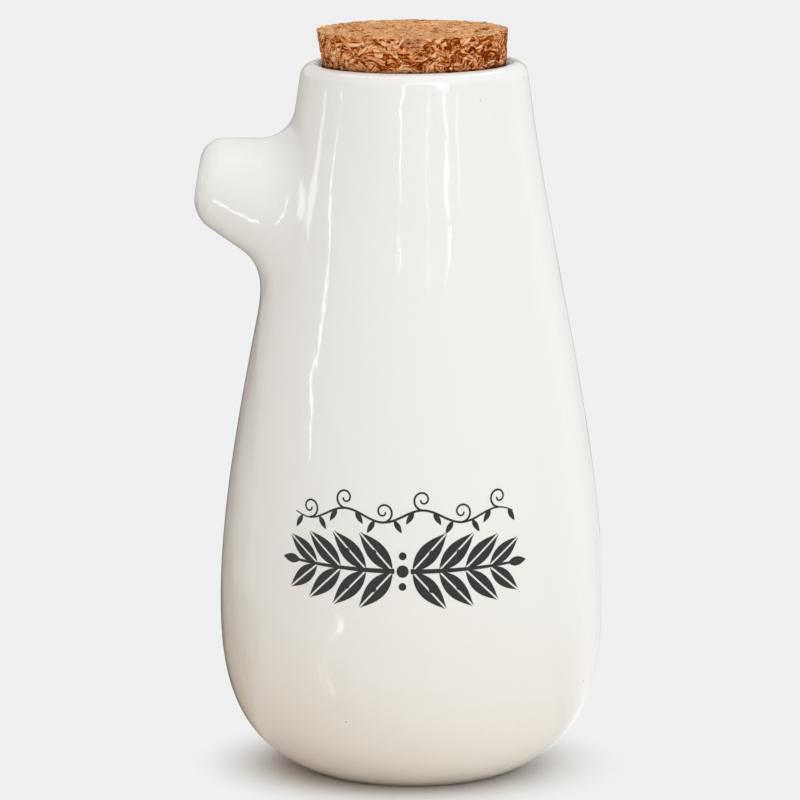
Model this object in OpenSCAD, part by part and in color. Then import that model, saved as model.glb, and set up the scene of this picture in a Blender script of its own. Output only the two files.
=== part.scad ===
// Slip-cast, glazed oil bottle with a pouring spout blended into its side, closed by a tapered
// pressed-cork stopper. Millimetres, +Z up. The origin is on the bottle's axis, in the plane of
// its foot ring, and the spout points along -X.

/* [Body] */
// Height of the ceramic body, foot to rim
body_h = 176.2; // [160:0.1:200]
// Diameter at the widest level
belly_d = 95; // [85:0.5:110]
// Height of the widest level
belly_z = 42; // [36:0.5:50]
// Outer diameter of the rim, measured where its rounding starts
rim_d = 56; // [54:0.5:62]
// Lean of the neck's side from the vertical, in degrees
neck_lean = 7.5; // [5:0.5:9]
// Length of the neck's straight pull on the side's curve
neck_pull = 47.5; // [40:0.5:55]
// Length of the belly's upward pull on the side's curve
flank_pull = 38.5; // [30:0.5:46]
// Thickness of the cast wall
wall = 4.5; // [3.5:0.1:5]
// Thickness of the floor above the foot plane
floor_t = 6; // [5:0.1:9]

/* [Foot] */
// Outer diameter of the ring that the bottle stands on
foot_d = 50; // [44:0.5:56]
// Width of the foot ring
foot_ring_w = 5; // [3:0.1:7]
// Depth of the recess inside the foot ring
foot_recess = 1.3; // [0.8:0.1:2]
// Width of the slope from the ring up to the recess
foot_slope_w = 1.6; // [1:0.1:2.5]
// Angle at which the heel leaves the foot, in degrees
heel_angle = 20; // [14:1:30]
// Length of the foot's outward pull on the heel's curve
heel_reach = 20.5; // [16:0.5:24]
// Length of the belly's downward pull on the heel's curve
heel_pull = 18.5; // [14:0.5:24]

/* [Mouth] */
// Radius of the rim's outer rounding
lip_r = 3.4; // [2:0.1:3.6]
// Radius of the mouth's inner edge
mouth_r = 0.9; // [0.5:0.1:1.2]
// Depth of the tapered seat that holds the stopper
seat_h = 5; // [4:0.1:8]
// Height over which the seat opens out to the cast wall
throat_h = 8; // [5:0.5:12]
// Clearance between stopper and seat, square to the axis
seat_fit = 0.08; // [0.05:0.01:0.3]

/* [Spout] */
// Distance from the bottle's axis to the middle of the spout's end face
spout_reach = 53.1; // [50:0.1:58]
// Height of the middle of the end face
spout_z = 147.7; // [143:0.1:149]
// Height of the end face before its edge is rounded
spout_face_h = 19.4; // [18:0.1:23]
// Width of the end face before its edge is rounded
spout_face_w = 20; // [17:0.1:22]
// Backward lean of the end face, in degrees
spout_face_lean = 9; // [4:1:14]
// Radius of the end face's rounded edge
spout_edge_r = 5; // [3:0.1:6]
// Distance from the axis to the root section that the spout widens towards
spout_root_x = 30; // [28:0.5:32]
// Height of the root section's middle
spout_root_z = 139.2; // [136:0.1:141]
// Height of the root section
spout_root_h = 36.2; // [34:0.1:40]
// Width of the root section
spout_root_w = 27; // [24:0.5:30]
// Length of the blend along the bottle's side, above the spout
blend_above = 7.5; // [6:0.5:10]
// Length of the blend along the bottle's side, below the spout
blend_below = 12.5; // [8:0.5:14]
// Length of the blend along the bottle's side, left and right of the spout
blend_wide = 8.5; // [6:0.5:11]
// Length of the blend along the spout
blend_out = 7.5; // [5:0.5:9]
// Diameter of the pouring hole
pour_hole_d = 8; // [5:0.5:9]

/* [Stopper] */
// Diameter of the stopper's top
stopper_top_d = 47.2; // [44:0.1:48]
// Diameter of the stopper's underside
stopper_bottom_d = 41.6; // [40:0.1:43]
// Length of the stopper
stopper_len = 24; // [20:0.5:28]
// Height that the stopper stands above the rim
stopper_proud = 8.6; // [6:0.1:12]
// Size of the worn chamfer on both ends of the stopper
stopper_chamfer = 0.5; // [0.3:0.1:1]

/* [Hidden] */
$fn = 96;

// How finely the curves are stepped
heel_steps = 16;
flank_steps = 26;
lip_steps = 6;
blend_steps = 7;
edge_steps = 4;
spout_ribs = 40;
solver_steps = 24;

// Handle length of a cubic curve that stands for a quarter circle, as a share of its chord
round_handle = 0.39;
// How far the blend dips under the surface that it joins, so that the two overlap cleanly
blend_dip = 0.12;
// How far the spout's skin runs on beneath that surface
root_dip = 1.6;
// Overrun of cutting solids
over = 1;

belly_r = belly_d / 2;
rim_r = rim_d / 2;
foot_r = foot_d / 2;
rim_side_z = body_h - lip_r * (1 - sin(neck_lean));
lip_centre = [rim_r - lip_r * cos(neck_lean), body_h - lip_r];
stopper_z = body_h + stopper_proud - stopper_len;
stopper_slope = (stopper_top_d - stopper_bottom_d) / 2 / stopper_len;

// Points of cubic curves, and their directions
function cubic(p, t) =
    pow(1 - t, 3) * p[0] + 3 * pow(1 - t, 2) * t * p[1] + 3 * (1 - t) * t * t * p[2] + pow(t, 3) * p[3];
function cubic_dir(p, t) =
    pow(1 - t, 2) * (p[1] - p[0]) + 2 * (1 - t) * t * (p[2] - p[1]) + t * t * (p[3] - p[2]);
function unit(v) = v / norm(v);

// The side of the bottle in the (radius, height) plane: a heel curve, then a flank curve
heel = [
    [foot_r, 0],
    [foot_r + heel_reach * cos(heel_angle), heel_reach * sin(heel_angle)],
    [belly_r, belly_z - heel_pull],
    [belly_r, belly_z]
];
flank = [
    [belly_r, belly_z],
    [belly_r, belly_z + flank_pull],
    [rim_r + neck_pull * sin(neck_lean), rim_side_z - neck_pull * cos(neck_lean)],
    [rim_r, rim_side_z]
];

// A side curve moved inwards by a distance, square to itself
function inset(p, t, by) = let (d = unit(cubic_dir(p, t))) cubic(p, t) - by * [d[1], -d[0]];
function side(by) = concat(
    [for (i = [0:heel_steps]) inset(heel, i / heel_steps, by)],
    [for (i = [1:flank_steps]) inset(flank, i / flank_steps, by)]
);
outer_side = side(0);
inner_side = [for (p = side(wall)) if (p[1] > floor_t && p[1] < body_h - seat_h - throat_h) p];

// Radius of a side at a height, from its own points
function radius_at(points, z) = lookup(z, [for (p = points) [p[1], p[0]]]);

// Radius of the stopper at a height
function stopper_r(z) = stopper_bottom_d / 2 + stopper_slope * (z - stopper_z);

// Outline of the body, with its rounded rim and recessed foot
body_outline = concat(
    [[0, foot_recess], [foot_r - foot_ring_w - foot_slope_w, foot_recess], [foot_r - foot_ring_w, 0]],
    outer_side,
    [for (i = [1:lip_steps]) let (a = neck_lean + (90 - neck_lean) * i / lip_steps)
        lip_centre + lip_r * [cos(a), sin(a)]],
    [[0, body_h]]
);

// Outline of the hollow: floor, cast wall, throat, seat and the rounded edge of the mouth
seat_top_r = stopper_r(body_h) + seat_fit;
seat_foot = [stopper_r(body_h - seat_h) + seat_fit, body_h - seat_h];
wall_top = inner_side[len(inner_side) - 1];
throat = [
    wall_top,
    wall_top + [-0.2, 0.5] * throat_h,
    seat_foot - [0, 0.4] * throat_h,
    seat_foot
];
hollow_outline = concat(
    [[0, floor_t], [inner_side[0][0] - (inner_side[0][1] - floor_t), floor_t]],
    inner_side,
    [for (i = [1:lip_steps]) cubic(throat, i / lip_steps)],
    [for (i = [0:lip_steps]) let (a = 180 - 90 * i / lip_steps)
        [seat_top_r + mouth_r, body_h - mouth_r] + mouth_r * [cos(a), sin(a)]],
    [[seat_top_r + mouth_r, body_h + over], [0, body_h + over]]
);

// The spout's two skins. Each is a set of ribs, one for every angle around the spout: across
// the end face's rounded edge, straight down the taper, and round the blend into a side.
// A skin lists: inset from the outer form, edge radius, extra blend length, the side it joins.
outer_skin = [0, spout_edge_r, 0, outer_side];
inner_skin = [wall, max(spout_edge_r - wall, 0) + 2, wall / 2, side(wall)];

function face_point(skin, a, share = 1) = let (
    high = (spout_face_h / 2 - skin[0]) * sin(a) * share,
    wide = (spout_face_w / 2 - skin[0]) * cos(a) * share
) [-(spout_reach - skin[0]) + high * sin(spout_face_lean), wide, spout_z + high * cos(spout_face_lean)];

function root_point(skin, a) = [
    -spout_root_x,
    (spout_root_w / 2 - skin[0]) * cos(a),
    spout_root_z + (spout_root_h / 2 - skin[0]) * sin(a)
];

// Share of the way from face to root at which a rib's straight part meets the side
function meets(skin, a, low = 0, high = 1, n = solver_steps) = n == 0 ? (low + high) / 2 : let (
    mid = (low + high) / 2,
    p = face_point(skin, a) * (1 - mid) + root_point(skin, a) * mid,
    outside = norm([p[0], p[1]]) > radius_at(skin[3], p[2])
) meets(skin, a, outside ? mid : low, outside ? high : mid, n - 1);

// A point on a side, from its angle and height, sunk by a depth
function on_side(points, angle, z, sink = 0) = let (r = radius_at(points, z) - sink)
    [r * cos(angle), r * sin(angle), z];

function rib(skin, a) = let (
    face = face_point(skin, a),
    root = root_point(skin, a),
    run = norm(root - face),
    along = (root - face) / run,
    share = meets(skin, a),
    hit = face * (1 - share) + root * share,
    hit_angle = 180 - atan2(hit[1], -hit[0]),
    hit_r = norm([hit[0], hit[1]]),
    spread = unit([(hit_angle - 180) * hit_r * PI / 180, hit[2] - spout_root_z]),
    tall = spread[1] > 0 ? blend_above : blend_below,
    length = norm([blend_wide * spread[0], tall * spread[1]]) + skin[2],
    end_angle = hit_angle + spread[0] * length / hit_r * 180 / PI,
    end_z = hit[2] + spread[1] * length,
    nudge = 0.01,
    end = on_side(skin[3], end_angle, end_z, blend_dip),
    before = on_side(skin[3], end_angle - (end_angle - hit_angle) * nudge,
        end_z - (end_z - hit[2]) * nudge, blend_dip),
    start = hit - along * (blend_out + skin[2]),
    reach = round_handle * norm(end - start),
    blend = [start, start + along * reach, end - unit(end - before) * reach, end],
    edge_in = face_point(skin, a, 1 - skin[1] / norm(face - face_point(skin, a, 0))),
    edge_out = face + along * skin[1],
    bow = 0.55,
    edge = [edge_in, edge_in + (face - edge_in) * bow, edge_out + (face - edge_out) * bow, edge_out]
) concat(
    [for (i = [0:edge_steps]) cubic(edge, i / edge_steps)],
    [for (i = [0:blend_steps]) cubic(blend, i / blend_steps)],
    [on_side(skin[3], end_angle, end_z, root_dip)]
);

// Closed solid inside one skin of the spout
module spout_solid(skin) {
    ribs = [for (i = [0:spout_ribs - 1]) rib(skin, 360 * i / spout_ribs)];
    n = len(ribs[0]);
    last = spout_ribs * n;
    function at(i, j) = (i % spout_ribs) * n + j;
    polyhedron(
        points = concat(
            [for (r = ribs) each r],
            [face_point(skin, 0, 0), [-spout_root_x / 2, 0, spout_root_z]]
        ),
        faces = concat(
            [for (i = [0:spout_ribs - 1], j = [0:n - 2]) each [
                [at(i, j), at(i + 1, j + 1), at(i + 1, j)],
                [at(i, j), at(i, j + 1), at(i + 1, j + 1)]
            ]],
            [for (i = [0:spout_ribs - 1]) [last, at(i, 0), at(i + 1, 0)]],
            [for (i = [0:spout_ribs - 1]) [last + 1, at(i + 1, n - 1), at(i, n - 1)]]
        )
    );
}

// Pouring hole, square to the end face
module pour_hole() {
    translate([-spout_reach, 0, spout_z])
        rotate([0, 90 + spout_face_lean, 0])
            translate([0, 0, -over]) cylinder(d = pour_hole_d, h = wall + 3 * over);
}

// Cast body: one hollow wall that runs out into the spout
module bottle() {
    color("whitesmoke") difference() {
        union() {
            rotate_extrude() polygon(body_outline);
            spout_solid(outer_skin);
        }
        rotate_extrude() polygon(hollow_outline);
        spout_solid(inner_skin);
        pour_hole();
    }
}

// Tapered stopper of pressed cork granules
module stopper() {
    c = stopper_chamfer;
    color("peru") translate([0, 0, stopper_z]) rotate_extrude() polygon([
        [0, 0],
        [stopper_bottom_d / 2 - c, 0],
        [stopper_bottom_d / 2 + stopper_slope * c, c],
        [stopper_top_d / 2 - stopper_slope * c, stopper_len - c],
        [stopper_top_d / 2 - c, stopper_len],
        [0, stopper_len]
    ]);
}

bottle();
stopper();
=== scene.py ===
import math
from functools import partial

import bpy
import numpy as np
from mathutils import Matrix, Vector
from mathutils.geometry import delaunay_2d_cdt
from mathutils.kdtree import KDTree


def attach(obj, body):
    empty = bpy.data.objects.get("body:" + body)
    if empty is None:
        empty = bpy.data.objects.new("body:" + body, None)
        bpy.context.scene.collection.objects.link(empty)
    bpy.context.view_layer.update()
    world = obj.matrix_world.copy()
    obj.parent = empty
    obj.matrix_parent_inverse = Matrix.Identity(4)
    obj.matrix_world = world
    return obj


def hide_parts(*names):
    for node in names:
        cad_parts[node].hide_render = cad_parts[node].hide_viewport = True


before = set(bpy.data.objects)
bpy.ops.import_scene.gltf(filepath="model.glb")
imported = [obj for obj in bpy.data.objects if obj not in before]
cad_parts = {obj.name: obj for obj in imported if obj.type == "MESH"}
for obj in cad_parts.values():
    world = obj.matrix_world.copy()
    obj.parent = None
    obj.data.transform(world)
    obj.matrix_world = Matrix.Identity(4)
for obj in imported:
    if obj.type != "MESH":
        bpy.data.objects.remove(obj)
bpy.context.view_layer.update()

mm = 0.001
sin, cos = math.sin, math.cos


def linearColour(hexText):
    # sRGB hex to the linear values that Blender's sockets hold
    values = [int(hexText[i:i + 2], 16) / 255 for i in (0, 2, 4)]
    return [v / 12.92 if v <= 0.04045 else ((v + 0.055) / 1.055) ** 2.4 for v in values] + [1.0]


def addNode(tree, kind, settings=None, links=None, stops=None):
    # one node: its settings (a property, or a socket, where text is a hex colour), what comes in
    # (a socket, or a node for its first output in use) and a ramp's stops
    node = tree.nodes.new("ShaderNode" + kind)
    for name, value in (settings or {}).items():
        if isinstance(name, str) and hasattr(node, name):
            setattr(node, name, value)
        else:
            value = linearColour(value) if isinstance(value, str) else value
            node.inputs[name].default_value = value
    for name, source in (links or {}).items():
        if isinstance(source, bpy.types.Node):
            source = next(socket for socket in source.outputs if socket.enabled)
        tree.links.new(source, node.inputs[name])
    if stops:
        ramp = node.color_ramp
        while len(ramp.elements) < len(stops):
            ramp.elements.new(0.5)
        for element, (place, colour) in zip(ramp.elements, stops):
            element.position = place
            element.color = linearColour(colour)
    return node


def perMetre(size):
    # a texture's scale for a grain of this many millimetres
    return 1 / (size * mm)


def newMaterial(name):
    # the material, and the call that adds a node to it
    material = bpy.data.materials.new(name)
    material.use_nodes = True
    material.node_tree.nodes.clear()
    return material, partial(addNode, material.node_tree)


def meshPiece(name, points, faces, material, body):
    mesh = bpy.data.meshes.new(name)
    mesh.from_pydata([tuple(p) for p in points], [], [tuple(f) for f in faces])
    mesh.validate()
    mesh.polygons.foreach_set("use_smooth", [True] * len(mesh.polygons))
    piece = bpy.data.objects.new(name, mesh)
    bpy.context.scene.collection.objects.link(piece)
    mesh.materials.append(material)
    if body:
        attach(piece, body)
    return piece


# The bottle, in millimetres: the solid's own sizes, but for a rounder mouth and the rim's slight
# tilt from hand finishing. Pulls are the handles of its curves.
bottleForm = {
    "bodyHeight": 176.2, "bellyRadius": 47.5, "bellyHeight": 42.0, "rimRadius": 28.0,
    "neckLean": 7.5, "neckPull": 47.5, "flankPull": 38.5, "wall": 4.5, "floor": 6.0,
    "heelAngle": 20.0, "heelReach": 20.5, "heelPull": 18.5,
    "lipRadius": 3.4, "mouthRadius": 1.9, "topFlat": 6.0,
    "rimTilt": 0.013, "tiltFrom": 150.0, "tiltOver": 26.0,
    "seatHeight": 5.0, "seatGap": 0.08, "throatHeight": 8.0,
    "throatPulls": ((-0.2, 0.5), (0.0, -0.4)),
    # (distance from the foot ring's inner edge, height) and (distance from the wall, height)
    "footRadius": 25.0, "footRing": 5.0, "footRecess": 1.3,
    "footProfile": ((-9.6, 1.3), (-2.2, 1.3), (-1.6, 1.22), (-0.3, 0.25), (0, 0.05), (0.3, 0),
                    (4.5, 0)),
    "floorCorner": ((-2.0, 0), (-0.7, 0.2)), "floorRise": 0.6,
    "spoutReach": 53.1, "spoutHeight": 147.7, "faceHeight": 19.4, "faceWidth": 20.0,
    "faceLean": 9.0, "edgeRadius": 5.0, "innerEdge": 2.5, "edgeBow": 0.55,
    "rootReach": 30.0, "rootCentre": 139.2, "rootHeight": 36.2, "rootWidth": 27.0,
    "rootSink": 0.85, "blendAbove": 7.5, "blendBelow": 12.5, "blendWide": 8.5, "blendOut": 7.5,
    "blendPull": 0.39, "holeRadius": 4.0, "holeFlare": 1.0,
    "columns": 240, "hollowColumns": 160, "holeColumns": 48, "ribs": 120, "innerRibs": 72,
    # the glaze: grains in mm, then colours, with a painted warm reflection and the painted shade in
    # the mouth
    "waves": 13.333, "ripple": 4.1667, "speckCell": 5.2632, "speck": 0.22105, "speckShare": 0.11,
    "cloud": 35.714, "grit": 0.45455, "waveHeight": 0.55, "gritHeight": 0.1,
    "bareHeight": (0.35, 0.8),
    "white": "EDEDEB", "warmReflectionColour": "EFE8DF", "speckColour": "A39A90", "biscuit": "DCCFBE",
    "seatShadeColour": "33241A", "mouthShadeShare": 0.93, "mouthShadeRadius": (24.6, 24.0), "mouthShadeHeight": (171.2, 174.6),
}
b = bottleForm


def cubicCurve(p, t):
    p = [np.array(q, float) for q in p]
    t = np.atleast_1d(t)[:, None]
    return (1 - t) ** 3 * p[0] + 3 * (1 - t) ** 2 * t * p[1] + 3 * (1 - t) * t * t * p[2] \
        + t ** 3 * p[3]


def cubicSlope(p, t):
    # a third of the slope, which gives the way
    p = [np.array(q, float) for q in p]
    t = np.atleast_1d(t)[:, None]
    return (1 - t) ** 2 * (p[1] - p[0]) + 2 * (1 - t) * t * (p[2] - p[1]) + t * t * (p[3] - p[2])


lean = math.radians(b["neckLean"])
heel = math.radians(b["heelAngle"])
rimSide = b["bodyHeight"] - b["lipRadius"] * (1 - sin(lean))
heelCurve = [
    (b["footRadius"], 0),
    (b["footRadius"] + b["heelReach"] * cos(heel), b["heelReach"] * sin(heel)),
    (b["bellyRadius"], b["bellyHeight"] - b["heelPull"]), (b["bellyRadius"], b["bellyHeight"])]
flankCurve = [
    (b["bellyRadius"], b["bellyHeight"]), (b["bellyRadius"], b["bellyHeight"] + b["flankPull"]),
    (b["rimRadius"] + b["neckPull"] * sin(lean), rimSide - b["neckPull"] * cos(lean)),
    (b["rimRadius"], rimSide)]


def sideLine(inset):
    # (radius, height) up one side of the wall, moved inwards by the inset
    parts = []
    for curve, steps, first in ((heelCurve, 48, 0), (flankCurve, 110, 1)):
        t = np.arange(first, steps + 1) / steps
        slope = cubicSlope(curve, t)
        slope /= np.linalg.norm(slope, axis=1)[:, None]
        parts.append(cubicCurve(curve, t) - inset * np.stack([slope[:, 1], -slope[:, 0]], 1))
    return np.vstack(parts)


outerSide = sideLine(0)
innerSide = sideLine(b["wall"])


def sideRadius(side, height):
    return float(np.interp(height, side[:, 1], side[:, 0]))


def arcLine(centre, radius, start, end, steps):
    a = np.radians(np.linspace(start, end, steps + 1))
    return np.array(centre) + radius * np.stack([np.cos(a), np.sin(a)], 1)


def spoutRib(angle, inner=False):
    # one rib from the middle of the end face, over its edge, down the taper and round the blend
    inset, extra = (b["wall"], b["wall"] / 2) if inner else (0.0, 0.0)
    edge = b["innerEdge"] if inner else b["edgeRadius"]
    edgeSteps, taperSteps, blendSteps = 13, 7, 19
    side = innerSide if inner else outerSide
    tilt = math.radians(b["faceLean"])
    high = (b["faceHeight"] / 2 - inset) * sin(angle)
    wide = (b["faceWidth"] / 2 - inset) * cos(angle)
    middle = np.array([-(b["spoutReach"] - inset), 0, b["spoutHeight"]])
    face = middle + np.array([high * sin(tilt), wide, high * cos(tilt)])
    root = np.array([-b["rootReach"], (b["rootWidth"] / 2 - inset) * cos(angle),
                     b["rootCentre"] + (b["rootHeight"] / 2 - inset) * sin(angle)])
    low, top = 0.0, 1.0  # where the taper meets the body's side is found by halving
    for _ in range(30):
        share = (low + top) / 2
        hit = face * (1 - share) + root * share
        if math.hypot(hit[0], hit[1]) > sideRadius(side, hit[2]):
            low = share
        else:
            top = share
    along = (root - face) / np.linalg.norm(root - face)
    hitAngle = math.pi - math.atan2(hit[1], -hit[0])
    hitRadius = math.hypot(hit[0], hit[1])
    spread = np.array([(hitAngle - math.pi) * hitRadius, hit[2] - b["rootCentre"]])
    spread /= np.linalg.norm(spread)
    tall = b["blendAbove"] if spread[1] > 0 else b["blendBelow"]
    length = math.hypot(b["blendWide"] * spread[0], tall * spread[1]) + extra

    def onSide(share):
        turn = hitAngle + spread[0] * length * share / hitRadius
        height = hit[2] + spread[1] * length * share
        radius = sideRadius(side, height)
        return np.array([radius * cos(turn), radius * sin(turn), height]), turn, height

    end, turn, height = onSide(1)
    into = end - onSide(0.97)[0]  # the side's way at the blend's end
    into /= np.linalg.norm(into)
    start = hit - along * (b["blendOut"] + extra)
    reach = b["blendPull"] * np.linalg.norm(end - start)
    edgeIn = middle + (face - middle) * (1 - edge / np.linalg.norm(face - middle))
    edgeOut = face + along * edge
    points = [middle + (edgeIn - middle) * k for k in (0.25, 0.5, 0.75)]
    points += list(cubicCurve([edgeIn, edgeIn + (face - edgeIn) * b["edgeBow"],
                               edgeOut + (face - edgeOut) * b["edgeBow"], edgeOut],
                              np.linspace(0, 1, edgeSteps)))
    if np.linalg.norm(start - edgeOut) > 0.5:
        points += [edgeOut + (start - edgeOut) * k for k in np.linspace(0, 1, taperSteps)[1:-1]]
    points += list(cubicCurve([start, start + along * reach, end - into * reach, end],
                              np.linspace(0, 1, blendSteps)))
    if inner:
        points.append(end * np.array([b["rootSink"], b["rootSink"], 1.0]))
    return points, (turn, height)


def ringPairs(count):
    # each place on a closed ring, with the next one
    return [(i, (i + 1) % count) for i in range(count)]


def ringFaces(rows, columns):
    # quads between rows of a closed ring of columns
    return [(j * columns + i, j * columns + k, (j + 1) * columns + k, (j + 1) * columns + i)
            for j in range(rows - 1) for i, k in ringPairs(columns)]


def ribFaces(ribs, length, first):
    # quads between neighbouring ribs, each of so many points
    return [tuple(first + k for k in (i * length + j, i * length + j + 1,
                                      n * length + j + 1, n * length + j))
            for i, n in ringPairs(ribs) for j in range(length - 1)]


def fanFaces(centre, first, count, step=1, flip=False):
    # triangles from a centre to a closed ring of points
    pairs = [(first + i * step, first + k * step) for i, k in ringPairs(count)]
    return [(centre, q, p) if flip else (centre, p, q) for p, q in pairs]


def tiltRim(points):
    # trimmed by hand: the rim stands a little higher away from the spout
    for p in points:
        share = min(max((p[2] - b["tiltFrom"]) / b["tiltOver"], 0), 1)
        p[2] += b["rimTilt"] * p[0] * share * share * (3 - 2 * share)
    return points


def turnedSolid(line, columns):
    # closed solid from a line that runs from the axis at the bottom to the axis at the top
    turns = np.linspace(0, 2 * math.pi, columns, endpoint=False)
    ring = np.stack([np.cos(turns), np.sin(turns)], 1)
    inner = line[1:-1]
    points = [np.array([0, 0, line[0][1]])]
    for r, z in inner:
        points += [np.array([r * c, r * d, z]) for c, d in ring]
    points.append(np.array([0, 0, line[-1][1]]))
    faces = fanFaces(0, 1, columns, flip=True)
    faces += [tuple(k + 1 for k in f) for f in ringFaces(len(inner), columns)]
    faces += fanFaces(len(points) - 1, 1 + (len(inner) - 1) * columns, columns)
    return points, faces


def outerShell():
    # The body's side is a grid round the axis, apart from a window round the spout. There the
    # grid's points and the spout's last ring are joined by triangles, so the glaze runs on.
    columns, ribs = b["columns"], b["ribs"]
    lip = arcLine((b["rimRadius"] - b["lipRadius"] * cos(lean), b["bodyHeight"] - b["lipRadius"]),
                  b["lipRadius"], b["neckLean"], 90, 16)[1:]
    foot = np.array(b["footProfile"]) + [b["footRadius"] - b["footRing"], 0]
    line = np.vstack([foot, outerSide, lip, [[b["rimRadius"] - b["topFlat"], b["bodyHeight"]]]])
    turns = np.linspace(0, 2 * math.pi, columns, endpoint=False)
    points = [np.array([r * cos(a), r * sin(a), z]) for r, z in line for a in turns]
    ribList = [spoutRib(2 * math.pi * i / ribs) for i in range(ribs)]
    ringTurns = np.array([r[1] for r in ribList])
    # window: whole grid cells that clear the last ring by a little (mm, mm and radians)
    above, below, beside = 3, 4, 0.08
    first, last = ringTurns.min(0), ringTurns.max(0)
    rows = [j for j in range(len(foot), len(line)) if
            first[1] - below < line[j, 1] < min(last[1] + above, rimSide + 0.1)]
    cols = [i for i in range(columns) if first[0] - beside < turns[i] < last[0] + beside]
    r0, r1, c0, c1 = rows[0], rows[-1], cols[0], cols[-1]
    faces = [f for n, f in enumerate(ringFaces(len(line), columns))
             if not (r0 <= n // columns < r1 and c0 <= n % columns < c1)]
    # the side is laid flat, with this many millimetres to the radian
    flat, home, scale, clear = [], [], 36.0, 0.9
    ringFlat = [(turn * scale, z) for turn, z in ringTurns]
    centre = np.mean(ringFlat, axis=0)
    out = np.array(ringFlat) - centre
    grown = [tuple(p) for p in centre + out * (1 + clear / np.linalg.norm(out, axis=1))[:, None]]

    def within(p, loop):
        inside = False
        for (x0, y0), (x1, y1) in zip(loop, loop[1:] + loop[:1]):
            if (y0 > p[1]) != (y1 > p[1]) and p[0] < (x1 - x0) * (p[1] - y0) / (y1 - y0) + x0:
                inside = not inside
        return inside

    for j in range(r0, r1 + 1):
        for i in range(c0, c1 + 1):
            p = (turns[i] * scale, line[j, 1])
            border = j in (r0, r1) or i in (c0, c1)
            if border or not within(p, grown):
                flat.append(Vector(p))
                home.append(j * columns + i)
    ringStart = len(flat)
    base = len(points)
    perRib = len(ribList[0][0])
    for i, (rib, _) in enumerate(ribList):
        points += rib
        flat.append(Vector(ringFlat[i]))
        home.append(base + i * perRib + perRib - 1)
    edges = [(ringStart + i, ringStart + k) for i, k in ringPairs(ribs)]
    joined = delaunay_2d_cdt(flat, edges, [], 0, 1e-6)
    places, origin = joined[0], joined[3]
    for f in joined[2]:
        middle = sum((places[k] for k in f), Vector((0, 0))) / len(f)
        if not within(middle, ringFlat):
            faces.append(tuple(home[origin[k][0]] for k in f))
    # spout skin, and a fan over the middle of its end face
    faces += ribFaces(ribs, perRib, base)
    points.append(np.array([-b["spoutReach"], 0, b["spoutHeight"]]))
    faces += fanFaces(len(points) - 1, base, ribs, perRib)
    # underside and top are closed by fans; the mouth is cut afterwards
    points.append(np.array([0, 0, b["footRecess"]]))
    faces += fanFaces(len(points) - 1, 0, columns, flip=True)
    points.append(np.array([0, 0, b["bodyHeight"]]))
    faces += fanFaces(len(points) - 1, (len(line) - 1) * columns, columns)
    return points, faces


def cavityLine():
    # floor, cast wall, throat, seat and the rounded edge of the mouth
    seatTop = stopperRadius(b["bodyHeight"]) + b["seatGap"]
    seatFoot = np.array([stopperRadius(b["bodyHeight"] - b["seatHeight"]) + b["seatGap"],
                         b["bodyHeight"] - b["seatHeight"]])
    wall = innerSide[(innerSide[:, 1] > b["floor"] + b["floorRise"])
                     & (innerSide[:, 1] < b["bodyHeight"] - b["seatHeight"] - b["throatHeight"])]
    pulls = np.array(b["throatPulls"]) * b["throatHeight"]
    throat = cubicCurve([wall[-1], wall[-1] + pulls[0], seatFoot + pulls[1], seatFoot],
                        np.linspace(0, 1, 13))[1:]
    mouth = arcLine((seatTop + b["mouthRadius"], b["bodyHeight"] - b["mouthRadius"]),
                    b["mouthRadius"], 180, 90, 8)
    corner = np.array(b["floorCorner"]) + [wall[0][0], b["floor"]]
    over = b["bodyHeight"] + 1  # the cutter ends above the rim
    return np.vstack([[[0, b["floor"]]], corner, wall, throat, mouth,
                      [[seatTop + b["mouthRadius"], over], [0, over]]])


def passageSolid():
    # the hollow inside the spout
    ribs = b["innerRibs"]
    ribList = [spoutRib(2 * math.pi * i / ribs, True)[0] for i in range(ribs)]
    length = len(ribList[0])
    points = [p for rib in ribList for p in rib]
    points += [np.array([-(b["spoutReach"] - b["wall"]), 0, b["spoutHeight"]]),
               np.array([-b["rootReach"] / 2, 0, b["rootCentre"]])]
    faces = ribFaces(ribs, length, 0) + fanFaces(len(points) - 2, 0, ribs, length)
    return points, faces + fanFaces(len(points) - 1, length - 1, ribs, length, True)


def holeSolid():
    # the pouring hole, with the soft edge that glaze gives it
    r, flare = b["holeRadius"], b["holeFlare"]
    past = 2.0  # the cutter runs out of the wall by this much
    edge = arcLine((r + flare, -flare), flare, 180, 92, 8)
    line = np.vstack([[[0, -b["wall"] - past], [r, -b["wall"] - past], [r, -flare - 0.8]], edge,
                      [[r + flare, past], [0, past]]])
    points, faces = turnedSolid(line, b["holeColumns"])
    tilt = Matrix.Rotation(math.radians(-90 + b["faceLean"]), 3, "Y")
    place = np.array([-b["spoutReach"], 0, b["spoutHeight"]])
    return [np.array(tilt @ Vector(p)) + place for p in points], faces


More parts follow.
